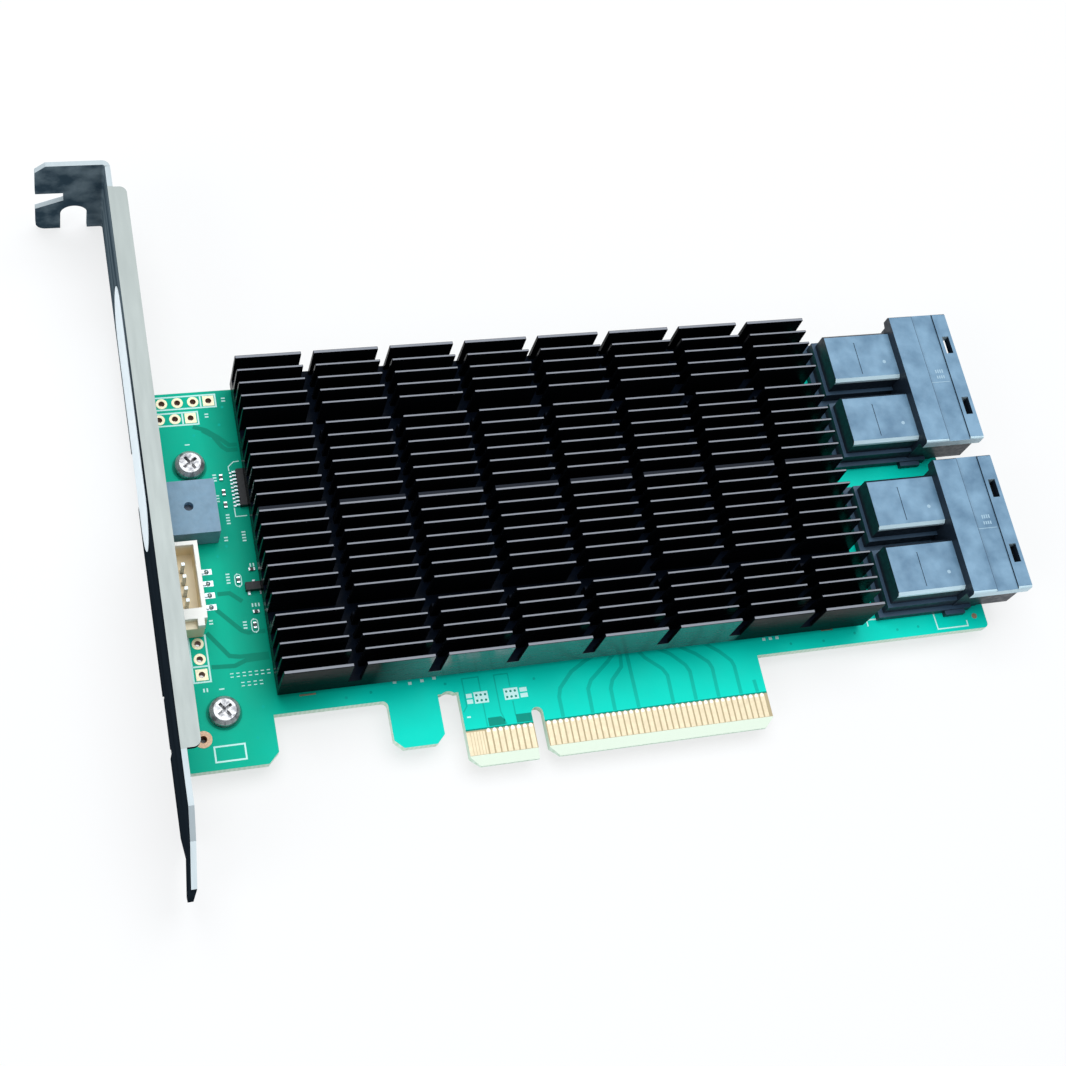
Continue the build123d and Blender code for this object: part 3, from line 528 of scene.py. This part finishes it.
def capsule_line(x, y, w, h, width):
    """Outline of a rounded box about a chip part."""
    r = min(w, h) / 2
    pts = []
    for side_x, side_y, start in ((1, 1, 0), (-1, 1, 90), (-1, -1, 180), (1, -1, 270)):
        corner_x = x + side_x * (w / 2 - r)
        corner_y = y + side_y * (h / 2 - r)
        for k in range(4):
            a = math.radians(start + k * 30)
            pts.append((corner_x + r * math.cos(a), corner_y + r * math.sin(a)))
    return stroke(pts, width, closed=True)


# Traces that fan out from the long row of contacts to under the heat sink
fan_w, fine_w, route_w = 0.62, 0.2, 0.7
contacts_top = 6.1
fan_out = [
    [(11.2, 15.6), (9.6, 14.9), (7.0, 13.4), (4.6, 10.9), (4.1, 9.4), (4.1, contacts_top)],
    [(14.8, 15.6), (13.4, 14.3), (10.0, 11.6), (9.2, 10.2), (9.1, contacts_top)],
    [(16.0, 16.2), (15.6, 13.2), (13.6, 11.2), (13.0, 9.8), (12.9, contacts_top)],
    [(17.0, 16.2), (17.0, contacts_top)],
    [(18.6, 16.2), (20.0, 14.2), (22.5, 12.0), (23.1, 10.8), (23.0, contacts_top)],
    [(21.6, 16.0), (24.4, 14.4), (26.6, 12.2), (27.1, 11.0), (27.0, contacts_top)],
    [(26.0, 15.6), (28.8, 13.9), (30.7, 12.2), (31.1, 11.1), (31.0, contacts_top)],
    [(30.6, 15.6), (33.0, 13.8), (34.7, 12.0), (35.0, 11.0), (35.0, contacts_top)],
    [(37.8, 8.2), (37.9, contacts_top)],
]
plates("fan_out_traces", strokes(fan_out, fan_w), FACE, TRACE_T, trace)

# Fine lines and dark windows above the short row of contacts
tooth_lines = [
    [(-11.9, 8.9), (-11.2, 9.8), (-11.2, 14.4), (-8.5, 14.4), (-8.5, contacts_top)],
    [(-5.3, contacts_top), (-5.9, 8.2), (-5.9, 14.4), (-3.6, 14.4), (-3.6, 12.2)],
    [(-3.6, 9.8), (-3.6, 7.4)],
]
plates("tooth_lines", strokes(tooth_lines, fine_w), FACE, TRACE_T, trace)
window_top = 7.5
tooth_windows = [
    [(-8.2, contacts_top), (-5.5, contacts_top), (-5.5, 6.9), (-6.0, window_top), (-8.2, window_top)],
    rectangle(-3.6, -1.0, contacts_top, window_top),
]
plates("tooth_windows", tooth_windows, FACE, TRACE_T, trace_dim)

# Broad routes from the bracket's end to under the heat sink, each a little thicker as some of them cross
first_route_t, route_step_t = 0.01, 0.002
under_sink_x = -40.9
left_routes = [
    [(-50.0, 26.8), (-47.0, 22.6), (-45.4, 22.3), (under_sink_x, 22.3)],
    [(-50.0, 21.1), (-46.4, 20.9), (-44.6, 21.6), (under_sink_x, 21.7)],
    [(-48.0, 30.4), (-44.6, 26.6), (-43.6, 26.1), (under_sink_x, 26.1)],
    [(-47.5, 33.0), (-45.6, 33.0), (-43.8, 31.4)],
    [(-46.2, 61.8), (-44.6, 60.6), (-43.4, 58.6), (-42.6, 57.9), (under_sink_x, 57.9)],
    [(-47.6, 62.6), (-45.6, 61.8), (-43.6, 60.2), (-42.2, 58.8), (under_sink_x, 58.8)],
]
for i, route in enumerate(left_routes):
    thick = first_route_t + i * route_step_t
    plates("left_route_" + str(i + 1), stroke(route, route_w), FACE, thick, shaded_trace)

# Printed outlines of the headers, a bare box, the fine-pitch chip, the lower connector and two small parts
box_w = 0.26
chip_w = 0.16
connector_w = 0.22
capsule_w = 0.14
outlines = []
for box, divider in (((-54.4, -43.35, 66.0, 68.25), [(-45.8, 66.1), (-45.8, 68.15)]),
                     ((-54.4, -46.55, 63.05, 65.3), [(-49.05, 63.15), (-49.05, 65.2)]),
                     ((-52.95, -50.35, 18.85, 26.45), [(-52.85, 21.4), (-50.45, 21.4)])):
    outlines += box_line(*box, box_w) + stroke(divider, box_w)
outlines += box_line(-51.25, -46.6, 5.95, 8.35, box_w)
outlines += strokes([[(-41.0, 55.75), (-41.9, 55.7), (-42.85, 54.9), (-42.85, 54.1)],
                     [(-42.85, 47.5), (-42.85, 46.0), (-41.0, 46.0)]], chip_w)
connector_corner = [(60.8, 15.0), (60.8, 16.15), (73.5, 15.95), (73.6, 13.0), (79.4, 13.0), (79.4, 14.0)]
outlines += stroke(connector_corner, connector_w)
outlines += capsule_line(-43.95, 35.0, 1.0, 2.1, capsule_w) + capsule_line(-42.4, 27.15, 1.0, 2.2, capsule_w)
plates("silk_outlines", outlines, FACE, INK_T, silk)

# Plain printed marks in the places of short codes
spots = [(-22.0, 15.2), (-19.6, 14.7), (-17.6, 14.9), (-15.6, 15.1)]
spots += [(x, 14.95) for x in (41.4, 42.6, 43.8)]
marks = [block(x, y, 0.56, 0.48) for x, y in spots]
dash_ys = (17.4, 59.4)
marks += [block(-48.9, y, 0.8, 0.2) for y in dash_ys]
bar_l, bar_w, bar_step = 0.6, 0.24, 0.5
for x, y, count in ((-42.06, 66.9, 2), (-45.12, 64.2, 2), (-45.3, 52.6, 3), (-45.3, 48.9, 3),
                    (-44.1, 44.9, 4), (-44.9, 42.0, 2), (-42.0, 41.7, 4), (-45.5, 34.7, 4),
                    (-43.9, 26.9, 3), (-49.1, 28.2, 2), (-11.2, 8.0, 1)):
    marks += [block(x, y + i * bar_step, bar_l, bar_w) for i in range(count)]
for x, y, count in ((-41.7, 37.4, 2), (-42.3, 30.6, 3), (-51.6, 17.5, 2)):
    marks += [block(x + i * bar_step, y, bar_w, bar_l) for i in range(count)]
pair_step, pair_gap = 0.95, 0.55
for x, y, count in ((-47.05, 19.4, 7), (-45.55, 17.8, 4)):
    for side in (-1, 1):
        marks += [block(x + i * pair_step, y + side * pair_gap / 2, 0.5, 0.15) for i in range(count)]
plates("silk_marks", marks, FACE, INK_T, silk)

# Printed blocks above the short row of contacts, two of them with six dots each
dotted_sides = ((-9.75, -7.45), (-4.8, -2.45))
plain_sides = ((-11.0, -10.05), (-2.15, -0.95))
dot_step_x, dot_step_y, dot_r = 0.72, 0.92, 0.2
blocks = [rectangle(x0, x1, 10.05, 11.95) for x0, x1 in dotted_sides]
blocks += [rectangle(x0, x1, y, y + 0.7) for x0, x1 in plain_sides for y in (10.15, 11.1)]
plates("silk_blocks", blocks, FACE, INK_T, silk)
dots = [disc(x0 + 0.42 + i * dot_step_x, 10.5 + j * dot_step_y, dot_r, 10) for x0, x1 in dotted_sides
        for i in range(3) for j in range(2)]
plates("silk_block_dots", dots, FACE + INK_T, TRACE_T, trace_dim)

# Bare pads that show beside the heat sink and the connector, and vias under the mask
test_pads = [rectangle(52.0, 54.2, 15.15, 15.45), rectangle(-37.2, -34.6, 14.75, 15.0),
             disc(81.1, 14.6, 0.5, 20)]
plates("test_pads", test_pads, FACE, BARE_PAD_T, copper)
vias = [(-46.4, 44.2), (-45.0, 41.0), (-46.6, 39.4), (-44.8, 60.4), (-43.3, 62.6), (-42.4, 65.8),
        (-47.6, 61.0), (-45.2, 18.0), (-43.0, 13.8), (-44.5, 9.0), (-30.0, 13.6), (-26.0, 14.0),
        (-14.0, 13.9), (0.6, 13.0), (46.0, 13.6), (52.0, 13.4), (58.0, 14.1), (66.0, 13.8), (70.0, 13.9)]
via_r = 0.24
plates("tented_vias", [disc(x, y, via_r, 12) for x, y in vias], FACE, TRACE_T, trace)

# Plated holes: walls that stay a little clear of the board, and pads on the solder side
header_pitch = 2.54
header_hole_r = 0.5
ringed_hole_r = 0.6
clear = 0.002
header_holes = [(-44.5 - i * header_pitch, 67.12) for i in range(4)]
header_holes += [(-47.75 - i * header_pitch, 64.2) for i in range(3)]
header_holes += [(-51.6, 20.05 + i * header_pitch) for i in range(3)]
tubes("hole_barrels", header_holes, 0.46, header_hole_r - clear, BACK, FACE + PAD_T, barrel)
tubes("solder_side_pads", header_holes, header_hole_r, 0.9, BACK - PAD_T, BACK, plating)
tubes("ringed_hole_barrel", [(-52.7, 9.75)], 0.55, ringed_hole_r - clear, BACK, FACE + PAD_T, barrel)

# Painted highlights on the rounded ends of the contacts
contact_top_z = FACE + PAD_T
contact_xs = [1.5 + i for i in range(38)] + [-1.5 - i for i in range(8)]
end_y, end_r = 5.48, 0.32
ends = [disc(x, end_y, end_r, 14) for x in contact_xs]
plates("contact_end_highlights", ends, contact_top_z + 0.005, 0.012, end_highlight)

# Pads and solder at the connectors' tails, and solder at the wire socket's pins
tail_xs = (68.4, 70.4, 72.4)
tail_pitch = 0.75
tails = [(x, y + (i - 4) * tail_pitch) for x in tail_xs for y in PORT_MIDS for i in range(9)]
tubes("tail_pads", tails, 0.16, 0.3, BACK - PAD_T, BACK, plating, sides=12)
fillet_h = 0.3
fillets("tail_solder", tails, BACK - PAD_T, 0.27, -fillet_h, solder)
wire_pin_x, wire_socket_mid, wire_pin_pitch = -48.75, 33.9, 2.0
wire_pins = [(wire_pin_x, wire_socket_mid + (i - 1.5) * wire_pin_pitch) for i in range(4)]
fillets("wire_socket_solder", wire_pins, FACE + PAD_T, 0.42, fillet_h, solder)

# Faint stripes where the first contacts run together
stripe_w, stripe_l = 0.12, 3.7
stripes = [block(-11.5 + i * 0.5, 3.6, stripe_w, stripe_l) for i in range(5)]
plates("joined_contact_stripes", stripes, contact_top_z + 0.01, 0.01, gold_gap)

# Small moulded marks on the connectors
mark_z = SHROUD_TOP_Z - 0.35
mark_xs = [82.7 + i * 0.42 for i in range(4)]
mark_w = 0.25
moulded = []
for mid in CONNECTOR_MIDS:
    for x in mark_xs:
        for low, high in ((0.8, 1.5), (-0.3, 0.3)):
            moulded.append(rectangle(x, x + mark_w, mid + low, mid + high))
    moulded.append(rectangle(81.4, 84.9, mid - 1.05, mid - 0.93))
plates("moulded_marks", moulded, mark_z, INK_T, port_mark)
gate_r = 0.34
gates = [disc(74.4, mid - 1.4, gate_r, 12) for mid in PORT_MIDS]
plates("moulded_gates", gates, REAR_BOX_TOP_Z, INK_T, port_mark)

# Dark plates under three of the four latch windows, painted shade for the dark inside of the ports
window_floor_z = FACE + 8.05
shades = [rectangle(85.96, 87.24, mid - 1.69, mid + 1.69) for mid in PORT_MIDS[:3]]
plates("window_shades", shades, window_floor_z, 0.05, shade_plastic)


# Stage, light and camera, in metres
def floor():
    """A plain pale floor that keeps the shadow and that metal mirrors as the camera sees it."""
    bm = bmesh.new()
    bmesh.ops.create_grid(bm, x_segments=1, y_segments=1, size=1.6)
    o = mesh_object("floor", bm)
    o.location = (0, 0, cad_box[0].z - 0.0002)
    m = bpy.data.materials.new("floor")
    m.use_nodes = True
    t = m.node_tree
    t.nodes.clear()
    out = t.nodes.new("ShaderNodeOutputMaterial")
    paint = t.nodes.new("ShaderNodeBsdfDiffuse")
    paint.inputs["Color"].default_value = (0.86, 0.87, 0.88, 1)
    glow = t.nodes.new("ShaderNodeEmission")
    glow.inputs["Color"].default_value = (1, 1, 1, 1)
    rays = t.nodes.new("ShaderNodeLightPath")
    shown = t.nodes.new("ShaderNodeMath")
    shown.operation = "MAXIMUM"
    glow_share = t.nodes.new("ShaderNodeMath")
    glow_share.operation = "MULTIPLY"
    glow_share.inputs[1].default_value = 0.72
    blend = t.nodes.new("ShaderNodeMixShader")
    for a, b in ((rays.outputs["Is Camera Ray"], shown.inputs[0]),
                 (rays.outputs["Is Glossy Ray"], shown.inputs[1]),
                 (shown.outputs[0], glow_share.inputs[0]),
                 (glow_share.outputs[0], blend.inputs[0]),
                 (paint.outputs[0], blend.inputs[1]),
                 (glow.outputs[0], blend.inputs[2]),
                 (blend.outputs[0], out.inputs[0])):
        t.links.new(a, b)
    o.data.materials.append(m)


def studio():
    """A soft cool world that the camera sees as white."""
    world = bpy.data.worlds.new("studio")
    bpy.context.scene.world = world
    world.use_nodes = True
    t = world.node_tree
    back = t.nodes["Background"]
    back.inputs["Color"].default_value = (0.80, 0.86, 0.92, 1)
    back.inputs["Strength"].default_value = 0.42
    seen = t.nodes.new("ShaderNodeBackground")
    seen.inputs["Color"].default_value = (1, 1, 1, 1)
    seen.inputs["Strength"].default_value = 1.0
    rays = t.nodes.new("ShaderNodeLightPath")
    pick = t.nodes.new("ShaderNodeMixShader")
    for a, b in ((rays.outputs["Is Camera Ray"], pick.inputs[0]),
                 (back.outputs[0], pick.inputs[1]),
                 (seen.outputs[0], pick.inputs[2]),
                 (pick.outputs[0], t.nodes["World Output"].inputs["Surface"])):
        t.links.new(a, b)


def softbox(name, place, aim, size, power, colour):
    lamp = bpy.data.lights.new(name, "AREA")
    lamp.shape = "RECTANGLE"
    lamp.size, lamp.size_y = size
    lamp.energy = power
    lamp.color = colour
    o = bpy.data.objects.new(name, lamp)
    bpy.context.scene.collection.objects.link(o)
    o.location = place
    o.rotation_euler = (Vector(aim) - Vector(place)).to_track_quat("-Z", "Y").to_euler()


floor()
studio()
softbox("overhead", (0.05, 0.25, 0.75), (0.02, 0.03, 0), (0.9, 0.6), 6.0, (0.97, 0.99, 1.0))
softbox("side_fill", (-0.75, -0.3, 0.5), (0, 0.03, 0), (0.5, 0.5), 2.4, (0.95, 0.98, 1.0))

# The camera as solved from the photo, with focal length and optical centre in the photo's pixels
photo_px = 1066
focal_px = 1827.225
centre_px = (521, 495)
sensor_mm = 36
eye = Vector((-82.04965858, -70.69044641, 270.63501468 + FACE)) * MM
right = Vector((0.954889, -0.195545, 0.223493))
down = Vector((-0.08804, -0.905173, -0.415826))
ahead = Vector((0.283612, 0.377391, -0.881555))
camera = bpy.data.objects.new("camera", bpy.data.cameras.new("camera"))
bpy.context.scene.collection.objects.link(camera)
bpy.context.scene.camera = camera
camera.matrix_world = Matrix.Translation(eye) @ Matrix((right, -down, -ahead)).transposed().to_4x4()
camera.data.sensor_width = sensor_mm
camera.data.lens = focal_px / photo_px * sensor_mm
camera.data.shift_x = (photo_px / 2 - centre_px[0]) / photo_px
camera.data.shift_y = (centre_px[1] - photo_px / 2) / photo_px
camera.data.clip_start = 0.01
camera.data.clip_end = 20

bpy.context.scene.view_settings.view_transform = "Standard"
